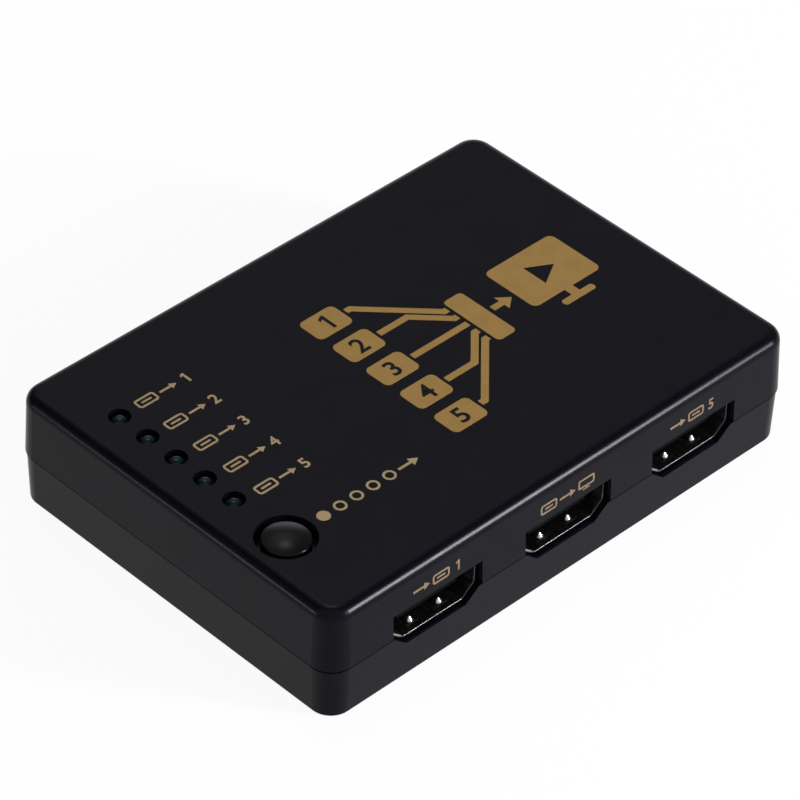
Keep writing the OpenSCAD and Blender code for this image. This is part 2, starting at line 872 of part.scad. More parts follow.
module hdmi_shell(s) {
    floor_end = contact_drop - contact_t - shell_t;
    color("#c6c8cc")
    at_socket(s) {
        difference() {
            translate([0, shell_l, 0])
                rotate([90, 0, 0])
                    linear_extrude(shell_l)
                        difference() {
                            polygon(rounded(shell_points(0), shell_bend));
                            polygon(rounded(shell_points(shell_t), shell_bend - shell_t));
                        }
            for (x = [-1, 1], z = [0, shell_h - shell_t])
                translate([x * finger_pitch / 2, finger_setback, z])
                    finger_slits();
            translate([-shell_w / 2 - past, floor_end, -past])
                cube([shell_w + 2 * past, shell_l, shell_slant + shell_bend / 2 + past]);
        }
        for (x = [-1, 1]) {
            finger_dimple(x, shell_t, 1);
            finger_dimple(x, shell_h - shell_t, -1);
        }
        at_shell_legs()
            translate([-shell_t / 2, -leg_w / 2, -board_t - lead_tail])
                cube([shell_t, leg_w, board_t + lead_tail + shell_slant + leg_rise]);
    }
}

module finger_slits() {
    difference() {
        translate([-finger_w / 2 - finger_slit, 0, -past / 2])
            cube([finger_w + 2 * finger_slit, finger_l, shell_t + past]);
        translate([-finger_w / 2, finger_slit, -past])
            cube([finger_w, finger_l, shell_t + 2 * past]);
    }
}

// The round bump at a finger's free end, standing into the mouth from a sheet's face
module finger_dimple(x, face, up) {
    translate([x * finger_pitch / 2, finger_setback + finger_slit + dimple_setback, face])
        mirror([0, 0, up > 0 ? 0 : 1])
            intersection() {
                translate([0, 0, dimple_h - dimple_r])
                    sphere(dimple_r);
                translate([-dimple_r, -dimple_r, -shell_t / 2])
                    cube(2 * dimple_r);
            }
}

module hdmi_insulator(s) {
    color("#131315")
    at_socket(s)
        difference() {
            union() {
                translate([-tongue_w / 2, tongue_setback, tongue_h - tongue_t / 2])
                    cube([tongue_w, block_front + block_l / 2 - tongue_setback, tongue_t]);
                translate([0, block_front + block_l, 0])
                    rotate([90, 0, 0])
                        linear_extrude(block_l)
                            polygon(rounded(shell_points(shell_t + seat_gap), shell_bend - shell_t));
            }
            socket_contacts();
        }
}

module hdmi_contacts(s) {
    color("#c9a24a")
    at_socket(s)
        socket_contacts();
}

// The contacts under the tongue lie between those on top of it
module socket_contacts() {
    over = tongue_h + tongue_t / 2 + contact_rise - contact_t;
    under = tongue_h - tongue_t / 2 - contact_rise;
    contact_row(contact_count, over);
    contact_row(contact_count - 1, under);
}

module contact_row(count, h) {
    start = tongue_setback + 2 * contact_t;
    for (i = [0 : count - 1])
        translate([(i - (count - 1) / 2) * contact_pitch, 0, 0])
            bent_strip(start, contact_drop, contact_foot, h, contact_t, contact_w);
}

// Lights

module light_lens(n) {
    r = led_d / 2;
    color("#16301f")
    at_light(n)
        translate([0, 0, led_base]) {
            cylinder(led_rim_t, d = led_rim_d);
            cylinder(led_h - r, r = r);
            translate([0, 0, led_h - r])
                sphere(r);
        }
}

module light_leads(n) {
    color("#c9ccd1")
    at_light(n)
        for (y = [-1, 1])
            translate([-led_lead / 2, y * led_lead_pitch / 2 - led_lead / 2, board_under - lead_tail])
                cube([led_lead, led_lead, led_base - board_under + lead_tail]);
}

// Jacks

// How far each contact lies behind the front of a jack's housing
function jack_lead_places(l, n) = [for (i = [1 : n]) l * i / (n + 1)];

module jack_housing(side, l, bore_d, bore_l) {
    at_jack(side)
        difference() {
            union() {
                cylinder(nose_l + jack_back, d = jack_nose_d);
                translate([-jack_axis_h, -jack_w / 2, nose_l])
                    cube([jack_h, jack_w, l]);
            }
            translate([0, 0, -past])
                cylinder(bore_l + past, d = bore_d);
            children();
        }
}

module jack_contacts(side, l, n, sides) {
    tail = board_t + lead_tail;
    for (x = jack_lead_places(l, n), y = sides)
        translate([
            jack_front - x - jack_lead_w / 2,
            side * jack_pitch / 2 + y * (jack_w + jack_lead_t) / 2 - jack_lead_t / 2,
            board_top - tail
        ])
            cube([jack_lead_w, jack_lead_t, tail + jack_lead_h]);
}

module power_jack() {
    color("#141416")
    jack_housing(-1, power_l, power_bore_d, nose_l + power_l - jack_back)
        cylinder(nose_l + power_l + past, d = power_pin_d + 2 * seat_gap);
}

module power_jack_pin() {
    color("#c9ccd1")
    at_jack(-1)
        translate([0, 0, power_pin_sink])
            cylinder(nose_l + power_l - power_pin_sink, d = power_pin_d);
}

module power_jack_contacts() {
    color("#c9ccd1")
    jack_contacts(-1, power_l, 2, [-1]);
}

module receiver_jack() {
    color("#141416")
    jack_housing(1, remote_l, remote_bore_d, nose_l + remote_l - jack_back)
        translate([0, 0, -past])
            cylinder(nose_l + past, d = remote_entry_d);
}

module receiver_jack_contacts() {
    color("#c9ccd1")
    jack_contacts(1, remote_l, 3, [-1, 1]);
}

// Parts on the board

module on_board(at) {
    translate([at.x, at.y, board_top])
        children();
}

module chip_body(l, w, h) {
    translate([-l / 2, -w / 2, chip_lift])
        cube([l, w, h]);
}

// A row of bent pins along the +Y side of a body that reaches out to edge
module pin_row(edge, count, pitch, h, w) {
    for (i = [0 : count - 1])
        translate([(i - (count - 1) / 2) * pitch, 0, 0])
            bent_strip(edge, edge + pin_bend, pin_reach - pin_bend, chip_lift + h / 2, pin_t, w);
}

module switch_chip() {
    color("#1a1a1c")
    on_board([-chip_x, 0])
        chip_body(chip_w, chip_w, chip_h);
}

module switch_chip_pins() {
    color("#c9ccd1")
    on_board([-chip_x, 0])
        for (turn = [0, 90, 180, 270])
            rotate(turn)
                pin_row(chip_w / 2, chip_pins, chip_pitch, chip_h, chip_pin_w);
}

module control_chip() {
    color("#1a1a1c")
    on_board([-control_x, control_y])
        chip_body(control_l, control_w, control_h);
}

module control_chip_pins() {
    color("#c9ccd1")
    on_board([-control_x, control_y])
        for (turn = [0, 180])
            rotate(turn)
                pin_row(control_w / 2, control_pins, control_pitch, control_h, control_pin_w);
}

module regulator() {
    color("#1a1a1c")
    on_board([regulator_x, regulator_y])
        chip_body(regulator_l, regulator_w, regulator_h);
}

module regulator_pins() {
    color("#c9ccd1")
    on_board([regulator_x, regulator_y]) {
        rotate(180)
            pin_row(regulator_w / 2, 3, regulator_pitch, regulator_h, regulator_pin_w);
        pin_row(regulator_w / 2, 1, regulator_pitch, regulator_h, regulator_tab_w);
    }
}

module crystal() {
    r = crystal_w / 2;
    color("#c6c8cc")
    on_board([-control_x, -crystal_y])
        linear_extrude(crystal_h) {
            square([crystal_l - crystal_w, crystal_w], center = true);
            for (x = [-1, 1])
                translate([x * (crystal_l / 2 - r), 0])
                    circle(r);
        }
}

module can_capacitors() {
    color("#b4b6ba")
    for (i = [0, 1])
        on_board([can_x - i * can_pitch, -can_y]) {
            translate([-can_d / 2, -can_d / 2, 0])
                cube([can_d, can_d, can_foot_t]);
            cylinder(can_h, d = can_d);
        }
}

module chip_resistors() {
    foot_end = contact_drop + contact_foot;
    color("#26262a")
    for (s = SOCKETS, i = [0 : resistor_count - 1])
        at_socket(s)
            translate([(i - (resistor_count - 1) / 2) * small_pitch - small_w / 2, foot_end + small_room, 0])
                cube([small_w, small_l, resistor_h]);
}

module chip_capacitors() {
    out = chip_w / 2 + pin_reach + small_room;
    color("#a58f6d")
    on_board([-chip_x, 0])
        for (turn = [90, 270], i = [0 : capacitor_count - 1])
            rotate(turn)
                translate([(i - (capacitor_count - 1) / 2) * small_pitch - small_w / 2, out, 0])
                    cube([small_w, small_l, capacitor_h]);
}

top_cover();
bottom_cover();
case_screws();
main_board();
select_button();
switch_base();
switch_plate();
switch_plunger();
switch_dome();
switch_pins();
for (s = SOCKETS) {
    hdmi_shell(s);
    hdmi_insulator(s);
    hdmi_contacts(s);
}
for (n = LIGHTS) {
    light_lens(n);
    light_leads(n);
}
power_jack();
power_jack_pin();
power_jack_contacts();
receiver_jack();
receiver_jack_contacts();
switch_chip();
switch_chip_pins();
control_chip();
control_chip_pins();
regulator();
regulator_pins();
crystal();
can_capacitors();
chip_resistors();
chip_capacitors();
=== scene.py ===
import json
import math

import bmesh
import bpy
from mathutils import Matrix, Vector


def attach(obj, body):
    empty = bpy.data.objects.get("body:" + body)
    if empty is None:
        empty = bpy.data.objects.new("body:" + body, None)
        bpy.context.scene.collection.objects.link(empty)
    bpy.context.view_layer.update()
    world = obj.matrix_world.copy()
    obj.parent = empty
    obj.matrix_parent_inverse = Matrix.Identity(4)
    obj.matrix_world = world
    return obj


# Looks of a five-in, one-out HDMI switch box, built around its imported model. Sizes here are in
# millimetres and turn into metres where a piece, a lamp or the camera is placed.

MM = 0.001

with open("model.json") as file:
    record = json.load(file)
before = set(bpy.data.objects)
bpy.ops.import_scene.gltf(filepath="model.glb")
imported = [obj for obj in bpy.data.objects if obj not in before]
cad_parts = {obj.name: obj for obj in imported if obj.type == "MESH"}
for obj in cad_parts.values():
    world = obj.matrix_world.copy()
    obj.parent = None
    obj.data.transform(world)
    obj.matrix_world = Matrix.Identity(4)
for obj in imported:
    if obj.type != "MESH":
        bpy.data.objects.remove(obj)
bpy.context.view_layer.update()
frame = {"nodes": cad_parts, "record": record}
cad = frame["nodes"]
scene = bpy.context.scene
scene.view_settings.view_transform = "Standard"


# Camera: the photograph's own view, fitted to the case's corners

AZIMUTH = math.radians(-45.127)
ELEVATION = math.radians(40.240)
ROLL = math.radians(1.772)
DISTANCE = 622.53
TARGET = Vector((0.081, 1.225, 10.0))
FOCAL_PIXELS = 4672.5
IMAGE_PIXELS = 800
SENSOR = 36.0
CLIP_NEAR = 10.0
CLIP_FAR = 20000.0


def add_camera():
    away = Vector((
        math.sin(AZIMUTH) * math.cos(ELEVATION),
        -math.cos(AZIMUTH) * math.cos(ELEVATION),
        math.sin(ELEVATION),
    ))
    level_right = Vector((math.cos(AZIMUTH), math.sin(AZIMUTH), 0))
    level_up = away.cross(level_right)
    right = level_right * math.cos(ROLL) + level_up * math.sin(ROLL)
    up = level_up * math.cos(ROLL) - level_right * math.sin(ROLL)
    turn = Matrix((right, up, away)).transposed().to_4x4()
    data = bpy.data.cameras.new("camera")
    data.sensor_width = SENSOR
    data.lens = FOCAL_PIXELS / IMAGE_PIXELS * SENSOR
    data.clip_start = CLIP_NEAR * MM
    data.clip_end = CLIP_FAR * MM
    camera = bpy.data.objects.new("camera", data)
    camera.matrix_world = Matrix.Translation((TARGET + away * DISTANCE) * MM) @ turn
    scene.collection.objects.link(camera)
    scene.camera = camera


# Nodes of the materials

NOISE_LOW = 0.3
NOISE_HIGH = 0.7
DARK_AT = 0.32
LIGHT_AT = 0.68
GLOSS_CLOUD = 0.4


def add_node(tree, kind, inputs=None, **settings):
    node = tree.nodes.new(kind)
    for name, value in settings.items():
        setattr(node, name, value)
    for name, value in (inputs or {}).items():
        node.inputs[name].default_value = value
    return node


def new_material(name, sockets):
    material = bpy.data.materials.new(name)
    material.use_nodes = True
    shader = material.node_tree.nodes["Principled BSDF"]
    for socket, value in sockets.items():
        shader.inputs[socket].default_value = value
    return material, material.node_tree, shader


def coordinates(tree, grain):
    """Object coordinates in units of the grain, which is one size or three."""
    sizes = grain if isinstance(grain, tuple) else (grain,) * 3
    place = add_node(tree, "ShaderNodeTexCoord")
    scale = add_node(tree, "ShaderNodeMapping")
    scale.inputs["Scale"].default_value = [1 / (size * MM) for size in sizes]
    tree.links.new(place.outputs["Object"], scale.inputs["Vector"])
    return scale.outputs["Vector"]


def noise(tree, grain):
    node = add_node(tree, "ShaderNodeTexNoise", {"Scale": 1.0, "Detail": 3.0, "Roughness": 0.55})
    tree.links.new(coordinates(tree, grain), node.inputs["Vector"])
    return node.outputs["Fac"]


def ramp(tree, factor, stops):
    """Colours along a factor: a list of (place, colour)."""
    node = add_node(tree, "ShaderNodeValToRGB")
    band = node.color_ramp
    while len(band.elements) < len(stops):
        band.elements.new(1.0)
    for element, (place, colour) in zip(band.elements, stops):
        element.position = place
        element.color = (*colour, 1.0)
    tree.links.new(factor, node.inputs["Fac"])
    return node.outputs["Color"]


def spread(tree, factor, low, high):
    """The noise's usual span, drawn out from low to high."""
    node = add_node(tree, "ShaderNodeMapRange", {
        "From Min": NOISE_LOW, "From Max": NOISE_HIGH, "To Min": low, "To Max": high,
    })
    tree.links.new(factor, node.inputs["Value"])
    return node.outputs["Result"]


def relief(tree, shader, height, depth):
    node = add_node(tree, "ShaderNodeBump", {"Strength": 1.0, "Distance": depth * MM})
    tree.links.new(height, node.inputs["Height"])
    tree.links.new(node.outputs["Normal"], shader.inputs["Normal"])


def grained(name, dark, light, rough, grain, depth, cloud=6.0, shine=0.5, metallic=0.0):
    """A surface with a fine grain in its relief, and slow drifts in its colour and its gloss.

    Grain and cloud are the sizes of the two, depth is the relief's, and rough goes from low to high.
    """
    sockets = {"Specular IOR Level": shine, "Metallic": metallic}
    material, tree, shader = new_material(name, sockets)
    colour = ramp(tree, noise(tree, cloud), [(DARK_AT, dark), (LIGHT_AT, light)])
    tree.links.new(colour, shader.inputs["Base Color"])
    fine = noise(tree, grain)
    gloss = add_node(tree, "ShaderNodeMix", {"Factor": 0.5})
    tree.links.new(fine, gloss.inputs["A"])
    tree.links.new(noise(tree, cloud * GLOSS_CLOUD), gloss.inputs["B"])
    tree.links.new(spread(tree, gloss.outputs["Result"], *rough), shader.inputs["Roughness"])
    relief(tree, shader, fine, depth)
    return material


def ink(name, dark, light, rough=(0.46, 0.58), shine=0.15):
    return grained(name, dark, light, rough, grain=0.11, depth=0.0030, cloud=2.5, shine=shine)


MASK_DARK = (0.003, 0.016, 0.009)
MASK_LIGHT = (0.006, 0.030, 0.016)
MASK_DRIFT = 4.0
MASK_GRAIN = 0.6
MASK_ROUGH = (0.3, 0.45)
TRACK_RISE = 0.03


def circuit_board(name):
    """Dark green solder mask over copper tracks, which stand a little proud."""
    material, tree, shader = new_material(name, {"Specular IOR Level": 0.4})
    bricks = add_node(tree, "ShaderNodeTexBrick", {
        "Scale": 1.0, "Mortar Size": 0.16, "Mortar Smooth": 0.3, "Brick Width": 3.1, "Row Height": 0.9,
    })
    tree.links.new(coordinates(tree, 1.0), bricks.inputs["Vector"])
    mask = ramp(tree, bricks.outputs["Fac"], [(0.2, MASK_DARK), (0.8, MASK_LIGHT)])
    patch = add_node(tree, "ShaderNodeMix", data_type="RGBA", blend_type="MULTIPLY")
    patch.inputs["Factor"].default_value = 0.5
    drift = ramp(tree, noise(tree, MASK_DRIFT), [(NOISE_LOW, (0.7,) * 3), (NOISE_HIGH, (1.0,) * 3)])
    tree.links.new(mask, patch.inputs["A"])
    tree.links.new(drift, patch.inputs["B"])
    tree.links.new(patch.outputs["Result"], shader.inputs["Base Color"])
    tree.links.new(spread(tree, noise(tree, MASK_GRAIN), *MASK_ROUGH), shader.inputs["Roughness"])
    relief(tree, shader, bricks.outputs["Fac"], TRACK_RISE)
    return material


# Materials, by the record's slots

PLASTIC_SHINE = 0.075

MATERIALS = {
    "case": grained(
        "satin_black_plastic", dark=(0.0015, 0.0013, 0.0034), light=(0.0022, 0.0019, 0.0046),
        rough=(0.22, 0.29), grain=0.16, depth=0.0012, shine=PLASTIC_SHINE,
    ),
    "button": grained(
        "gloss_black_plastic", dark=(0.0016, 0.0015, 0.0022), light=(0.0024, 0.0023, 0.0032),
        rough=(0.20, 0.26), grain=0.12, depth=0.0008, cloud=2.0, shine=0.12,
    ),
    "lens": grained(
        "green_lens_resin", dark=(0.0014, 0.0064, 0.0052), light=(0.0026, 0.0115, 0.0092),
        rough=(0.10, 0.16), grain=0.3, depth=0.0008, cloud=1.2, shine=0.15,
    ),
    "socket_steel": grained(
        "nickel_plating", dark=(0.40, 0.40, 0.41), light=(0.52, 0.52, 0.52),
        rough=(0.16, 0.24), grain=(0.05, 1.2, 0.05), depth=0.0004, cloud=1.5, metallic=1.0,
    ),
    "inner_plastic": grained(
        "dull_black_plastic", dark=(0.0010, 0.0010, 0.0012), light=(0.0018, 0.0018, 0.0021),
        rough=(0.48, 0.60), grain=0.10, depth=0.0020, cloud=2.0, shine=0.03,
    ),
    # Gold far darker than real gold plating: painted shade for the contacts deep inside the sockets.
    "gold": grained(
        "gold_plating_painted_shade", dark=(0.32, 0.21, 0.07), light=(0.42, 0.29, 0.11),
        rough=(0.20, 0.32), grain=0.08, depth=0.0008, cloud=0.8, metallic=1.0,
    ),
    "screw_steel": grained(
        "zinc_plating", dark=(0.36, 0.36, 0.37), light=(0.52, 0.52, 0.52),
        rough=(0.24, 0.40), grain=0.12, depth=0.0020, cloud=1.0, metallic=1.0,
    ),
    "tin": grained(
        "tin_plating", dark=(0.50, 0.51, 0.52), light=(0.66, 0.66, 0.67),
        rough=(0.28, 0.42), grain=0.10, depth=0.0014, cloud=1.0, metallic=1.0,
    ),
    "board": circuit_board("green_circuit_board"),
    "chip": grained(
        "moulded_chip_resin", dark=(0.0090, 0.0090, 0.0096), light=(0.0150, 0.0150, 0.0158),
        rough=(0.5, 0.66), grain=0.06, depth=0.0025, cloud=1.5, shine=0.35,
    ),
    "can": grained(
        "drawn_aluminium", dark=(0.46, 0.47, 0.48), light=(0.60, 0.60, 0.61),
        rough=(0.24, 0.38), grain=(0.3, 0.3, 0.04), depth=0.0014, cloud=1.2, metallic=1.0,
    ),
    "ceramic": grained(
        "tan_ceramic", dark=(0.30, 0.22, 0.13), light=(0.42, 0.32, 0.20),
        rough=(0.40, 0.52), grain=0.08, depth=0.0020, cloud=0.8,
    ),
}
LIP_STEEL = grained(
    "bare_lip_steel", dark=(0.090, 0.090, 0.092), light=(0.130, 0.130, 0.130),
    rough=(0.26, 0.36), grain=0.06, depth=0.0004, cloud=1.0, metallic=1.0,
)
GOLD_INK = ink("gold_ink", dark=(0.232, 0.137, 0.038), light=(0.256, 0.151, 0.042))
LABEL_INK = ink("label_ink", dark=(0.250, 0.180, 0.100), light=(0.300, 0.216, 0.120))
# The wall prints use a darker copy of the label ink: painted shade that offsets the stronger lamp light
# on the walls.
SHADED_LABEL_INK = ink("label_ink_painted_shade", dark=(0.140, 0.100, 0.060), light=(0.170, 0.122, 0.074))
BLACK_INK = ink(
    "black_ink", dark=(0.0030, 0.0028, 0.0040), light=(0.0046, 0.0042, 0.0058),
    rough=(0.40, 0.52), shine=PLASTIC_SHINE,
)


def dress_cad_nodes():
    slots = {part["node"]: part["material_slot"] for part in frame["record"]["subparts"]}
    for name, piece in cad.items():
        for place in piece.material_slots:
            place.material = MATERIALS[slots[name]]


# Outlines of the print, as points in millimetres, right and up as it is read

LEAST_ROUND = 0.05


def disc(x, y, radius, steps=40):
    turns = [2 * math.pi * i / steps for i in range(steps)]
    return [(x + radius * math.cos(turn), y + radius * math.sin(turn)) for turn in turns]


def ring(x, y, radius, width):
    return [disc(x, y, radius), disc(x, y, radius - width)]


def rounded_box(x, y, w, h, radius, steps=8):
    """A box about its middle."""
    points = []
    for i, (side, top) in enumerate(((1, 1), (-1, 1), (-1, -1), (1, -1))):
        for step in range(steps + 1):
            turn = math.radians(90) * (i + step / steps)
            points.append((
                x + side * (w / 2 - radius) + radius * math.cos(turn),
                y + top * (h / 2 - radius) + radius * math.sin(turn),
            ))
    return points


def box_frame(x, y, w, h, radius, border):
    inner = max(radius - border, LEAST_ROUND)
    return [
        rounded_box(x, y, w, h, radius),
        rounded_box(x, y, w - 2 * border, h - 2 * border, inner),
    ]


def stroke(points, width):
    """A line of even width with mitred bends."""
    path = [Vector(point) for point in points]
    left = []
    right = []
    for i, point in enumerate(path):
        before = (point - path[i - 1]).normalized() if i else None
        after = (path[i + 1] - point).normalized() if i + 1 < len(path) else None
        before, after = before or after, after or before
        across = Vector((-before.y - after.y, before.x + after.x)).normalized()
        reach = width / 2 / across.dot(Vector((-before.y, before.x)))
        left.append(tuple(point + across * reach))
        right.append(tuple(point - across * reach))
    return left + right[::-1]


def arrow(x, y, length, width, head_w, head_l):
    """An arrow to the right, from its tail's middle."""
    neck = x + length - head_l
    return [
        (x, y - width / 2), (neck, y - width / 2), (neck, y - head_w / 2), (x + length, y),
        (neck, y + head_w / 2), (neck, y + width / 2), (x, y + width / 2),
    ]


def arc(x, y, radius, start, end, steps=12):
    turns = [math.radians(start + (end - start) * i / steps) for i in range(steps + 1)]
    return [(x + radius * math.cos(turn), y + radius * math.sin(turn)) for turn in turns]


# Shares of a socket sign's height, width and border
SIGN_ROUND = 0.28
SIGN_BAR_W = 0.5
SIGN_BAR_ROUND = 0.3


def socket_sign(x, y, w, h, border):
    """A socket's face about its middle: a frame round a bar."""
    bar = rounded_box(x, y, w * SIGN_BAR_W, border, border * SIGN_BAR_ROUND)
    return [*box_frame(x, y, w, h, h * SIGN_ROUND, border), bar]


# Shares of a screen's width and height
NECK_W = 0.12
NECK_H = 0.14
FOOT_W = 0.46
FOOT_H = 0.12
FOOT_DROP = 0.20
FOOT_ROUND = 0.05


def stand(x, y, w, h):
    """The neck and the foot under a screen's middle."""
    low = y - h / 2
    side = w * NECK_W / 2
    end = low - h * NECK_H
    neck = [(x - side, end), (x + side, end), (x + side, low), (x - side, low)]
    return [neck, rounded_box(x, low - h * FOOT_DROP, w * FOOT_W, h * FOOT_H, h * FOOT_ROUND)]


# Pieces of the print: thin ink that stands on the case, sunk a little so that no gap shows

INK = 0.02
SUNK = 0.01
WELD = 0.0004


def surface_place(point, inward, right):
    """Where a ray meets the top cover: right and up along its face, and out of it."""
    hit, spot, normal, _ = cad["top_cover"].ray_cast(Vector(point) * MM, Vector(inward))
    if not hit:
        raise RuntimeError(f"no cover behind {point}")
    across = (Vector(right) - normal * Vector(right).dot(normal)).normalized()
    up = normal.cross(across)
    turn = Matrix((across, up, normal)).transposed().to_4x4()
    return Matrix.Translation(spot) @ turn @ Matrix.Scale(MM, 4)


def curve_mesh(curve):
    """The mesh that a curve makes once it is filled or bevelled."""
    holder = bpy.data.objects.new("outline", curve)
    scene.collection.objects.link(holder)
    shape = holder.evaluated_get(bpy.context.evaluated_depsgraph_get())
    mesh = bpy.data.meshes.new_from_object(shape)
    bpy.data.objects.remove(holder)
    return mesh


def add_loop(curve, points):
    """A closed line through points, each with two or three coordinates."""
    spline = curve.splines.new("POLY")
    spline.points.add(len(points) - 1)
    for corner, (x, y, *z) in zip(spline.points, points):
        corner.co = (x, y, z[0] if z else 0, 1)
    spline.use_cyclic_u = True


def outline_mesh(outlines):
    curve = bpy.data.curves.new("outline", "CURVE")
    curve.dimensions = "2D"
    curve.fill_mode = "BOTH"
    curve.extrude = (INK + SUNK) / 2
    for outline in outlines:
        add_loop(curve, outline)
    return curve_mesh(curve)


# The numeral one, with its flag, at a height of one
ONE = [(0.04, 0.0), (0.22, 0.0), (0.22, 1.0), (0.08, 1.0), (-0.15, 0.86), (-0.15, 0.68), (0.04, 0.79)]
NUMERAL_WEIGHT = 0.018


def numeral_mesh(text, x, y, height):
    """A numeral about a place, in the built-in face but for the one."""
    if text == "1":
        return outline_mesh([[(x + right * height, y + (up - 0.5) * height) for right, up in ONE]])
    curve = bpy.data.curves.new("numeral", "FONT")
    curve.body = text
    curve.align_x = "CENTER"
    curve.offset = NUMERAL_WEIGHT
    curve.fill_mode = "BOTH"
    curve.extrude = (INK + SUNK) / 2
    mesh = curve_mesh(curve)
    low = min(vertex.co.y for vertex in mesh.vertices)
    high = max(vertex.co.y for vertex in mesh.vertices)
    grow = height / (high - low)
    flat = Matrix.Diagonal((grow, grow, 1, 1))
    mesh.transform(Matrix.Translation((x, y - height / 2 - low * grow, 0)) @ flat)
    return mesh


def new_piece(name, mesh, material):
    mesh.materials.clear()
    mesh.materials.append(material)
    piece = bpy.data.objects.new(name, mesh)
    scene.collection.objects.link(piece)
    return piece


def add_print(name, place, colour, outlines, numerals=(), lift=0.0):
    shape = bmesh.new()
    meshes = [numeral_mesh(*numeral) for numeral in numerals]
    if outlines:
        meshes.append(outline_mesh(outlines))
    for mesh in meshes:
        shape.from_mesh(mesh)
        bpy.data.meshes.remove(mesh)
    bmesh.ops.remove_doubles(shape, verts=shape.verts, dist=WELD)
    bmesh.ops.dissolve_degenerate(shape, edges=shape.edges, dist=WELD)
    bmesh.ops.recalc_face_normals(shape, faces=shape.faces)
    mesh = bpy.data.meshes.new(name)
    shape.to_mesh(mesh)
    shape.free()
    mesh.transform(place @ Matrix.Translation((0, 0, (INK - SUNK) / 2 + lift)))
    piece = new_piece(name, mesh, colour)
    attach(piece, "case")


ABOVE = 40.0
BESIDE = 80.0


def top_place(x, y):
    return surface_place((x, y, ABOVE), (0, 0, -1), (1, 0, 0))


def front_place(x, z):
    return surface_place((x, -BESIDE, z), (0, 1, 0), (1, 0, 0))


def back_place(x, z):
    return surface_place((x, BESIDE, z), (0, -1, 0), (-1, 0, 0))


def right_place(y, z):
    return surface_place((BESIDE, y, z), (-1, 0, 0), (0, 1, 0))


# Arrows: length, width, and the head's width and length
ROUTE_ARROW = (3.7, 1.05, 3.0, 1.9)
BUTTON_ARROW = (3.5, 0.42, 1.6, 1.3)
SMALL_ARROW = (2.9, 0.36, 1.2, 1.0)

# Socket signs: width, height and border
LIGHT_SIGN = (3.4, 1.8, 0.32)
PORT_SIGN = (3.0, 1.6, 0.3)

INPUTS = range(1, 6)
MIDDLE_INPUT = 3

# The route over the top: boxes, lines, hub and screen, from left to right
BOX_X = -2.7
BOX_W = 6.2
BOX_H = 4.6
BOX_ROUND = 0.9
BOX_PITCH = 6.4
BOX_NUMERAL_H = 3.0
LINE_W = 1.05
LINE_PITCH = 1.95
LINE_START = 0.9
LINE_BENT = 10.6
LINE_END = 11.2
HUB_X = 13.4
HUB_W = 3.4
HUB_H = 10.8
HUB_ROUND = 0.7
ROUTE_ARROW_X = 15.8
SCREEN_X = 26.6
SCREEN_Y = 1.2
SCREEN_W = 12.8
SCREEN_H = 9.8
SCREEN_ROUND = 1.0
PLAY_BACK = 1.6
PLAY_AHEAD = 2.2
PLAY_SIDE = 2.2


def add_route_print():
    """Five numbered boxes, their lines into a hub, and a screen: what the box does."""
    shapes = []
    numerals = []
    for n in INPUTS:
        step = MIDDLE_INPUT - n
        y = step * BOX_PITCH
        hub_y = step * LINE_PITCH
        bend = LINE_BENT - abs(step) * (BOX_PITCH - LINE_PITCH)
        path = [(LINE_START, y), (LINE_END, y)]
        if step:
            path[1:] = [(bend, y), (LINE_BENT, hub_y), (LINE_END, hub_y)]
        shapes.append(rounded_box(BOX_X, y, BOX_W, BOX_H, BOX_ROUND))
        shapes.append(stroke(path, LINE_W))
        numerals.append((str(n), BOX_X, y, BOX_NUMERAL_H))
    shapes.append(rounded_box(HUB_X, 0, HUB_W, HUB_H, HUB_ROUND))
    shapes.append(arrow(ROUTE_ARROW_X, 0, *ROUTE_ARROW))
    shapes.append(rounded_box(SCREEN_X, SCREEN_Y, SCREEN_W, SCREEN_H, SCREEN_ROUND))
    shapes.append([
        (SCREEN_X - PLAY_BACK, SCREEN_Y - PLAY_SIDE),
        (SCREEN_X + PLAY_AHEAD, SCREEN_Y),
        (SCREEN_X - PLAY_BACK, SCREEN_Y + PLAY_SIDE),
    ])
    shapes += stand(SCREEN_X, SCREEN_Y, SCREEN_W, SCREEN_H)
    add_print("print_route", top_place(0, 0), GOLD_INK, shapes)
    add_print("print_numbers", top_place(0, 0), BLACK_INK, [], numerals, lift=INK / 2)


LIGHT_Y = 17.0
LIGHT_PITCH = 5.74
LIGHT_SIGN_X = -30.9
LIGHT_ARROW_X = -28.6
LIGHT_NUMERAL_X = -24.2
LIGHT_NUMERAL_H = 1.9


def add_light_prints():
    """A socket, an arrow and a number beside each light."""
    for n in INPUTS:
        y = LIGHT_Y - (n - 1) * LIGHT_PITCH
        shapes = socket_sign(LIGHT_SIGN_X, y, *LIGHT_SIGN)
        shapes.append(arrow(LIGHT_ARROW_X, y, *SMALL_ARROW))
        numeral = (str(n), LIGHT_NUMERAL_X, y, LIGHT_NUMERAL_H)
        add_print(f"print_light_{n}", top_place(0, 0), LABEL_INK, shapes, [numeral])


DOT_X = -29.4
DOT_Y = -15.1
DOT_R = 0.95
DOT_PITCH = 2.9
DOT_LINE = 0.34
DOT_COUNT = 5
DOT_ARROW_X = -16.2


def add_button_print():
    """Five dots, of which the first is full, and an arrow: the button steps on."""
    shapes = [disc(DOT_X, DOT_Y, DOT_R)]
    for i in range(1, DOT_COUNT):
        shapes += ring(DOT_X + i * DOT_PITCH, DOT_Y, DOT_R, DOT_LINE)
    shapes.append(arrow(DOT_ARROW_X, DOT_Y, *BUTTON_ARROW))
    add_print("print_button", top_place(0, 0), LABEL_INK, shapes)


PORT_Z = 13.8
PORT_X = {"in1": -23.8, "out": -0.2, "in5": 23.2, "in4": -23.6, "in3": 0.0, "in2": 23.6}
FRONT_PORTS = ("in1", "out", "in5")
OUT_SIGN_X = -3.5
OUT_ARROW_X = -1.5
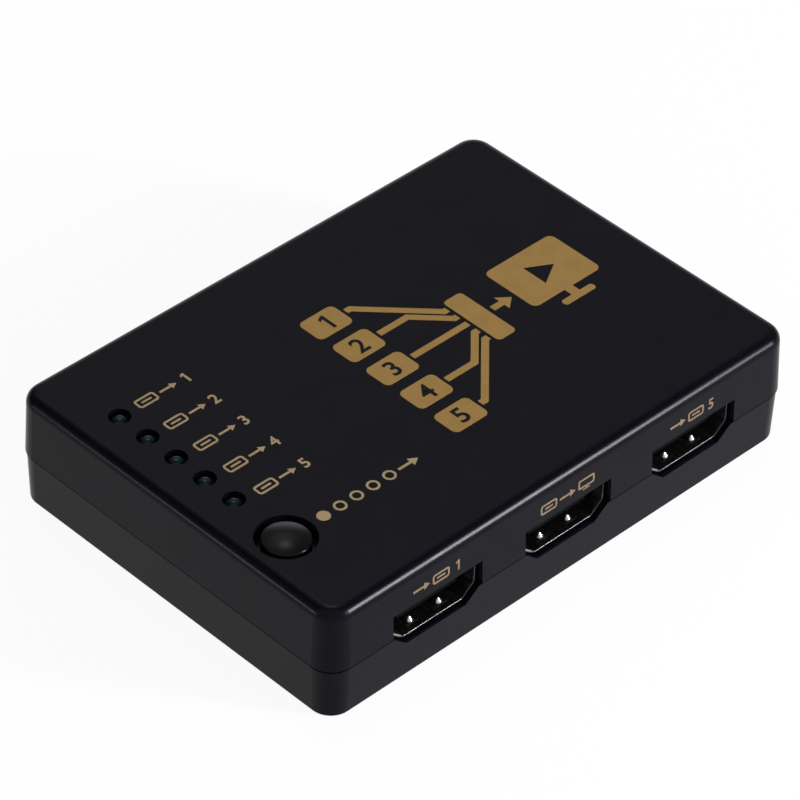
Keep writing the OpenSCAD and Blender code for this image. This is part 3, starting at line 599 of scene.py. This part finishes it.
# The screen's place, width and height
OUT_SCREEN = (3.4, 0.25, 3.0, 1.5)
OUT_SCREEN_ROUND = 0.3
OUT_SCREEN_LINE = 0.3
IN_ARROW_X = -4.2
IN_SIGN_X = 0.7
IN_NUMERAL_X = 3.6
IN_NUMERAL_H = 1.7


def add_port_prints():
    """Over each socket: an arrow into it and its number, or an arrow out of it to a screen."""
    for port, x in PORT_X.items():
        place = front_place(x, PORT_Z) if port in FRONT_PORTS else back_place(x, PORT_Z)
        if port == "out":
            shapes = socket_sign(OUT_SIGN_X, 0, *PORT_SIGN)
            shapes.append(arrow(OUT_ARROW_X, 0, *SMALL_ARROW))
            shapes += box_frame(*OUT_SCREEN, OUT_SCREEN_ROUND, OUT_SCREEN_LINE)
            shapes += stand(*OUT_SCREEN)
            add_print("print_out", place, SHADED_LABEL_INK, shapes)
        else:
            shapes = [arrow(IN_ARROW_X, 0, *SMALL_ARROW)]
            shapes += socket_sign(IN_SIGN_X, 0, *PORT_SIGN)
            numeral = (port[-1], IN_NUMERAL_X, 0, IN_NUMERAL_H)
            add_print(f"print_{port}", place, SHADED_LABEL_INK, shapes, [numeral])


JACK_Z = 14.2
JACK_Y = 8.0
CURRENT_H = 0.36
CURRENT_UP = 0.45
CURRENT_ROUND = 0.1
LONG_BAR = 3.4
SHORT_BAR = 0.8
SHORT_BAR_X = (-1.3, 0.0, 1.3)
WAVE_X = -1.3
WAVE_DOT_R = 0.4
WAVE_LINE = 0.34
WAVE_R = (1.0, 1.8, 2.6)
WAVE_TURN = 42


def add_jack_prints():
    """The sign for direct current over the power jack, and waves that meet a dot over the receiver's."""
    current = [rounded_box(0, CURRENT_UP, LONG_BAR, CURRENT_H, CURRENT_ROUND)]
    current += [rounded_box(x, -CURRENT_UP, SHORT_BAR, CURRENT_H, CURRENT_ROUND) for x in SHORT_BAR_X]
    add_print("print_power", right_place(-JACK_Y, JACK_Z), SHADED_LABEL_INK, current)
    waves = [disc(WAVE_X, 0, WAVE_DOT_R)]
    waves += [stroke(arc(WAVE_X, 0, radius, -WAVE_TURN, WAVE_TURN), WAVE_LINE) for radius in WAVE_R]
    add_print("print_receiver", right_place(JACK_Y, JACK_Z), SHADED_LABEL_INK, waves)


# Rolled lips round the mouths of the six sockets

LIP_R = 0.04
LIP_STEPS = 3
MOUTH_Y = 29.4
SHELL_W = 15.0
SHELL_H = 5.3
SHELL_FLAT = 10.6
SHELL_SLANT = 1.85
SHELL_FOOT = 6.25
SHELL_T = 0.25
SHELL_BEND = 0.7
SOCKET_PITCH = 23.6
SOCKET_X = (-SOCKET_PITCH, 0, SOCKET_PITCH)


def bent(corners, radius, steps=6):
    """A closed outline with its corners rounded."""
    points = []
    for i, corner in enumerate(corners):
        here = Vector(corner)
        back = (Vector(corners[i - 1]) - here).normalized()
        ahead = (Vector(corners[(i + 1) % len(corners)]) - here).normalized()
        reach = radius / math.tan(back.angle(ahead) / 2)
        for step in range(steps + 1):
            t = step / steps
            points.append(here + back * reach * (1 - t) ** 2 + ahead * reach * t ** 2)
    return points


def add_socket_lips():
    flat = SHELL_FLAT / 2
    side = (SHELL_W - SHELL_T) / 2
    low = SHELL_FOOT + SHELL_T / 2
    slant = SHELL_FOOT + SHELL_SLANT
    high = SHELL_FOOT + SHELL_H - SHELL_T / 2
    corners = [(-flat, low), (flat, low), (side, slant), (side, high), (-side, high), (-side, slant)]
    outline = bent(corners, SHELL_BEND)
    curve = bpy.data.curves.new("socket_lips", "CURVE")
    curve.dimensions = "3D"
    curve.bevel_depth = LIP_R
    curve.bevel_resolution = LIP_STEPS
    for y in (-MOUTH_Y, MOUTH_Y):
        for x in SOCKET_X:
            add_loop(curve, [(x + right, y, up) for right, up in outline])
    mesh = curve_mesh(curve)
    mesh.transform(Matrix.Scale(MM, 4))
    mesh.shade_smooth()
    piece = new_piece("socket_lips", mesh, LIP_STEEL)
    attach(piece, "case")


# Bell-shaped contact bumps over the dimples of the spring fingers

BUMP_R = 0.75
BUMP_H = 0.7
BUMP_BACK = 1.75
BUMP_RINGS = 8
BUMP_STEPS = 24
FINGER_PITCH = 5.15


def add_bump(shape, foot, way):
    """A closed bump on a sheet's face: way is 1 for up and -1 for down."""
    turns = [2 * math.pi * i / BUMP_STEPS for i in range(BUMP_STEPS)]
    top = shape.verts.new(foot + Vector((0, 0, way * (BUMP_H - SUNK))))
    inner = None
    for step in range(1, BUMP_RINGS + 1):
        share = step / BUMP_RINGS
        reach = BUMP_R * share
        rise = way * (BUMP_H * (1 + math.cos(math.pi * share)) / 2 - SUNK)
        row = [
            shape.verts.new(foot + Vector((reach * math.cos(turn), reach * math.sin(turn), rise)))
            for turn in turns
        ]
        for i in range(BUMP_STEPS):
            j = (i + 1) % BUMP_STEPS
            if inner:
                shape.faces.new((inner[i], row[i], row[j], inner[j]))
            else:
                shape.faces.new((top, row[i], row[j]))
        inner = row
    base = shape.faces.new(inner)
    for edge in base.edges:
        edge.smooth = False


def add_finger_bumps():
    low = SHELL_FOOT + SHELL_T
    high = SHELL_FOOT + SHELL_H - SHELL_T
    shape = bmesh.new()
    for side in (-1, 1):
        y = side * (MOUTH_Y - BUMP_BACK)
        for x in SOCKET_X:
            for finger in (-1, 1):
                for z, way in ((low, 1), (high, -1)):
                    add_bump(shape, Vector((x + finger * FINGER_PITCH / 2, y, z)), way)
    bmesh.ops.recalc_face_normals(shape, faces=shape.faces)
    mesh = bpy.data.meshes.new("finger_bumps")
    shape.to_mesh(mesh)
    shape.free()
    mesh.shade_smooth()
    mesh.transform(Matrix.Scale(MM, 4))
    piece = new_piece("finger_bumps", mesh, MATERIALS["socket_steel"])
    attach(piece, "case")


add_camera()
dress_cad_nodes()
add_socket_lips()
add_finger_bumps()
add_route_print()
add_light_prints()
add_button_print()
add_port_prints()
add_jack_prints()


# Stage: a white floor that keeps a soft shadow, a pale sky and soft lamps

FLOOR_SIZE = 6000.0
FLOOR_DROP = 0.02
FLOOR_WHITE = 0.92
PAPER = (0.85, 0.85, 0.85, 1)


def add_floor():
    material = bpy.data.materials.new("white_floor")
    material.use_nodes = True
    tree = material.node_tree
    tree.nodes.clear()
    out = add_node(tree, "ShaderNodeOutputMaterial")
    paper = add_node(tree, "ShaderNodeBsdfDiffuse", {"Color": PAPER})
    glow = add_node(tree, "ShaderNodeEmission", {"Strength": 1.0})
    rays = add_node(tree, "ShaderNodeLightPath")
    seen = add_node(tree, "ShaderNodeMath", operation="MAXIMUM")
    shown = add_node(tree, "ShaderNodeMath", operation="MAXIMUM")
    share = add_node(tree, "ShaderNodeMath", operation="MULTIPLY")
    share.inputs[1].default_value = FLOOR_WHITE
    tree.links.new(rays.outputs["Is Camera Ray"], seen.inputs[0])
    tree.links.new(rays.outputs["Is Glossy Ray"], seen.inputs[1])
    tree.links.new(seen.outputs[0], shown.inputs[0])
    tree.links.new(rays.outputs["Is Transmission Ray"], shown.inputs[1])
    tree.links.new(shown.outputs[0], share.inputs[0])
    mix = add_node(tree, "ShaderNodeMixShader")
    tree.links.new(share.outputs[0], mix.inputs["Fac"])
    tree.links.new(paper.outputs[0], mix.inputs[1])
    tree.links.new(glow.outputs[0], mix.inputs[2])
    clear = add_node(tree, "ShaderNodeBsdfTransparent")
    side = add_node(tree, "ShaderNodeNewGeometry")
    one_way = add_node(tree, "ShaderNodeMixShader")
    tree.links.new(side.outputs["Backfacing"], one_way.inputs["Fac"])
    tree.links.new(mix.outputs[0], one_way.inputs[1])
    tree.links.new(clear.outputs[0], one_way.inputs[2])
    tree.links.new(one_way.outputs[0], out.inputs["Surface"])
    half = FLOOR_SIZE / 2 * MM
    low = -FLOOR_DROP * MM
    corners = [(-half, -half, low), (half, -half, low), (half, half, low), (-half, half, low)]
    mesh = bpy.data.meshes.new("floor")
    mesh.from_pydata(corners, [], [(0, 1, 2, 3)])
    floor = new_piece("floor", mesh, material)


# Along a level direction away from the camera, the sky goes from the pale side behind the camera
# through a dark band to a pale horizon. A soft glow hangs over the back of the part.
SKY_AXIS = (0.707, 0.707, 0.0)
SKY = [(-0.25, 0.8), (0.0, 0.06), (0.88, 0.19), (0.98, 1.4)]
GLOW_AXIS = (0.30, 0.46, 0.835)
GLOW = [(0.72, 0.0), (0.89, 0.18), (0.945, 0.46), (0.97, 1.05)]


def sky_part(tree, axis, stops):
    """Brightness along an axis: a list of (share of the axis in a direction, brightness)."""
    place = add_node(tree, "ShaderNodeTexCoord")
    along = add_node(tree, "ShaderNodeVectorMath", operation="DOT_PRODUCT")
    along.inputs[1].default_value = axis
    tree.links.new(place.outputs["Generated"], along.inputs[0])
    share = add_node(tree, "ShaderNodeMapRange", {"From Min": -1.0, "From Max": 1.0})
    tree.links.new(along.outputs["Value"], share.inputs["Value"])
    return ramp(tree, share.outputs["Result"], [((u + 1) / 2, (level,) * 3) for u, level in stops])


def add_sky():
    world = bpy.data.worlds.new("sky")
    scene.world = world
    world.use_nodes = True
    tree = world.node_tree
    both = add_node(tree, "ShaderNodeMix", data_type="RGBA", blend_type="ADD")
    both.inputs["Factor"].default_value = 1.0
    tree.links.new(sky_part(tree, SKY_AXIS, SKY), both.inputs["A"])
    tree.links.new(sky_part(tree, GLOW_AXIS, GLOW), both.inputs["B"])
    tree.links.new(both.outputs["Result"], tree.nodes["Background"].inputs["Color"])


LAMP_DISTANCE = 900.0


def add_lamp(name, direction, w, h, power):
    """A rectangle of light that lies in a direction from the part and faces it."""
    data = bpy.data.lights.new(name, "AREA")
    data.shape = "RECTANGLE"
    data.size = w * MM
    data.size_y = h * MM
    data.energy = power
    lamp = bpy.data.objects.new(name, data)
    away = Vector(direction).normalized()
    lamp.location = away * LAMP_DISTANCE * MM
    lamp.rotation_mode = "QUATERNION"
    lamp.rotation_quaternion = away.to_track_quat("Z", "Y")
    lamp.visible_camera = False
    scene.collection.objects.link(lamp)


add_floor()
add_sky()
add_lamp("overhead_lamp", direction=(0.214, 0.286, 0.934), w=200, h=200, power=0.5)
add_lamp("front_strip", direction=(0.501, -0.801, 0.327), w=140, h=280, power=13.0)
add_lamp("side_strip", direction=(-0.85, 0.47, 0.08), w=160, h=80, power=0.85)
